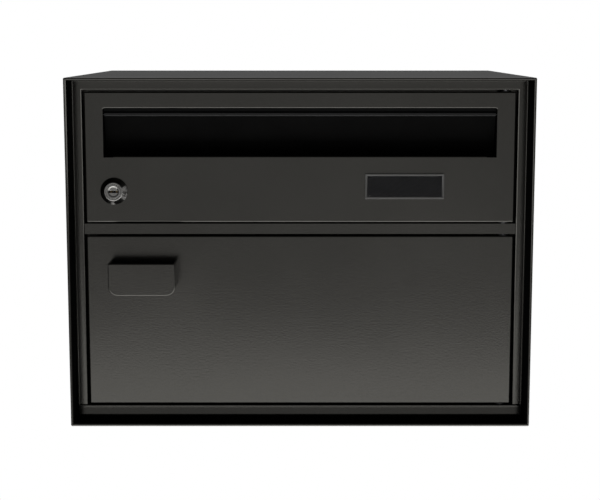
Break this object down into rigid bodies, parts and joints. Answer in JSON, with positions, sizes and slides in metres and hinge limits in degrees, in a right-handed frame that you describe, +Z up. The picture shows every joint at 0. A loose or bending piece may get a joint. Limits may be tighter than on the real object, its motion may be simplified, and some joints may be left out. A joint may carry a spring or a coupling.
{
  "type": "wall mounted mailbox",
  "caption": "Steel letterbox for a wall: a hemmed sleeve with a lockable upper door that has a letter slot, and a lower door with a cup pull.",
  "frame": {"origin": "centre of the four wall bolt holes, on the back face that lies against the wall", "axes": "+X to the right seen from the front, +Y back towards the wall, +Z up"},
  "size_m": [0.41, 0.315, 0.31],
  "materials": {
    "coated_steel": "fine satin powder coat, dark warm grey",
    "coated_door": "fine satin powder coat, dark warm grey",
    "flap_enamel": "flat black enamel",
    "zinc_steel": "bright zinc plate",
    "nickel": "satin nickel plate",
    "wafer_brass": "stamped",
    "magnet": "sintered",
    "nylon": "black, self-lubricating",
    "black_plastic": "moulded",
    "plate_plastic": "moulded",
    "label_card": "plain card, blank",
    "smoked_window": "smoked clear plastic",
    "buffer_rubber": "matt"
  },
  "bodies": {
    "casing": {"casing_wrap": "coated_steel", "back_panel": "coated_steel", "back_flanges": "coated_steel", "wall_washers": "zinc_steel", "frame_surround": "coated_steel", "frame_sill": "coated_steel", "mullion": "coated_steel", "divider_shelf": "coated_steel", "upper_hinge_pins": "zinc_steel", "lower_hinge_pins": "zinc_steel", "door_bumpers": "buffer_rubber", "catch_housing": "black_plastic", "catch_magnet": "magnet", "catch_screws": "zinc_steel"},
    "upper_door": {"upper_door_panel": "coated_door", "upper_hinge_bushes": "nylon", "upper_stiffener": "zinc_steel", "flap_brackets": "flap_enamel", "flap_axle": "zinc_steel", "lock_housing": "nickel", "lock_nut": "zinc_steel", "nameplate_holder": "plate_plastic", "nameplate_label": "label_card", "nameplate_window": "smoked_window", "nameplate_retainers": "zinc_steel"},
    "plug": {"lock_plug": "nickel", "lock_wafers": "wafer_brass", "lock_cam": "zinc_steel", "cam_washer": "zinc_steel", "cam_screw": "zinc_steel"},
    "flap": {"slot_flap": "flap_enamel", "flap_edge_strip": "buffer_rubber"},
    "lower_door": {"lower_door_panel": "coated_door", "lower_hinge_bushes": "nylon", "lower_stiffener": "zinc_steel", "pull_handle": "coated_door", "pull_rivets": "zinc_steel", "catch_strike": "zinc_steel", "strike_rivets": "zinc_steel"}
  },
  "joints": [
    {"name": "upper_door_hinge", "type": "hinge", "parent": "casing", "child": "upper_door", "pos_m": [0.183, -0.2805, 0.083], "axis": [0, 0, 1], "range_deg": [0, 105]},
    {"name": "lower_door_hinge", "type": "hinge", "parent": "casing", "child": "lower_door", "pos_m": [0.183, -0.2805, -0.064], "axis": [0, 0, 1], "range_deg": [0, 105]},
    {"name": "flap_hinge", "type": "hinge", "parent": "upper_door", "child": "flap", "pos_m": [0, -0.2837, 0.12205], "axis": [1, 0, 0], "range_deg": [0, 60]},
    {"name": "lock_turn", "type": "hinge", "parent": "upper_door", "child": "plug", "pos_m": [-0.1661, -0.27, 0.05365], "axis": [0, 1, 0], "range_deg": [0, 90]}
  ]
}
